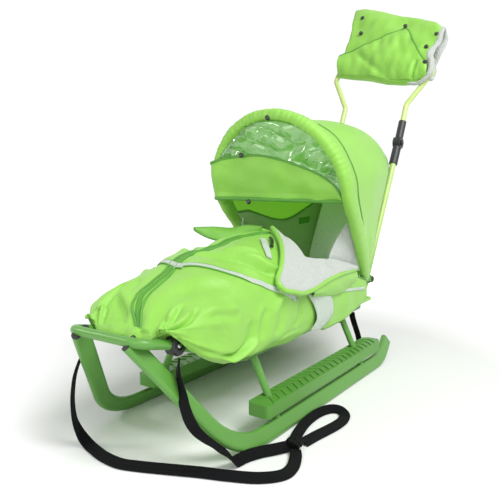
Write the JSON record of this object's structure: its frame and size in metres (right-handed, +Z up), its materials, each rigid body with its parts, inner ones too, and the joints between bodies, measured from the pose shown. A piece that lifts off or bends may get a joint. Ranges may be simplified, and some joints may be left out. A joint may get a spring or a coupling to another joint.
{
  "type": "baby sled",
  "caption": "Baby sled with leaning tube runners, chevron footrests, a padded foot bag, a folding hood with a clear window, a tilting push handle with a hand muff, and a webbing tow strap",
  "frame": {"origin": "middle of the sled's box, on the floor it stands on, measured without the straps", "axes": "+X the way the sled travels, +Y to its left, +Z up"},
  "size_m": [1.5363, 0.5415, 1.2148],
  "materials": {
    "green_paint": "satin",
    "handle_paint": "satin",
    "green_plastic": "satin",
    "black_plastic": "satin",
    "green_nylon": "satin",
    "white_fleece": "matte",
    "clear_film": "gloss",
    "silver_trim": "satin",
    "black_webbing": "matte"
  },
  "bodies": {
    "sled": {"front_bar": "green_paint", "cross_tube_front": "green_paint", "cross_tube_rear": "green_paint", "runner_left": "green_paint", "runner_right": "green_paint", "rail_left": "green_paint", "rail_right": "green_paint", "seat_tube_left": "green_paint", "seat_tube_right": "green_paint", "leg_front_left": "green_paint", "leg_front_right": "green_paint", "leg_rear_left": "green_paint", "leg_rear_right": "green_paint", "footrest_left": "green_plastic", "footrest_right": "green_plastic", "hub_left": "black_plastic", "hub_right": "black_plastic", "runner_plug_left": "black_plastic", "runner_plug_right": "black_plastic", "clamp_left": "black_plastic", "clamp_right": "black_plastic", "knuckle_lower_left": "black_plastic", "knuckle_lower_right": "black_plastic", "hood_clip_left": "black_plastic", "hood_clip_right": "black_plastic", "bag_cover": "green_nylon", "bag_wall_left": "green_nylon", "bag_wall_right": "green_nylon", "bag_floor": "green_nylon", "bag_toe": "green_nylon", "hood_cover": "green_nylon", "seat_board": "green_nylon", "foot_board": "green_nylon", "back_board": "green_nylon", "side_panel_left": "green_nylon", "side_panel_right": "green_nylon", "back_pad": "white_fleece", "tow_strap_left": "black_webbing", "tow_strap_right": "black_webbing", "hand_loop": "black_webbing", "rear_strap_left": "black_webbing", "rear_strap_right": "black_webbing"},
    "handle": {"knuckle_upper_left": "black_plastic", "knuckle_upper_right": "black_plastic", "handle_tube": "handle_paint", "muff": "green_nylon"},
    "hood": {"hood_arm_left": "green_plastic", "hood_arm_right": "green_plastic", "hood_rim": "green_nylon", "hood_visor": "green_nylon"}
  },
  "joints": [
    {"name": "handle_tilt", "type": "hinge", "parent": "sled", "child": "handle", "pos_m": [-0.47798, 0, 0.68596], "axis": [0, -1, 0], "range_deg": [-15, 75]},
    {"name": "hood_fold", "type": "hinge", "parent": "sled", "child": "hood", "pos_m": [-0.238, 0, 0.25302], "axis": [0, -1, 0], "range_deg": [0, 55], "deforming": ["hood_cover"]}
  ]
}
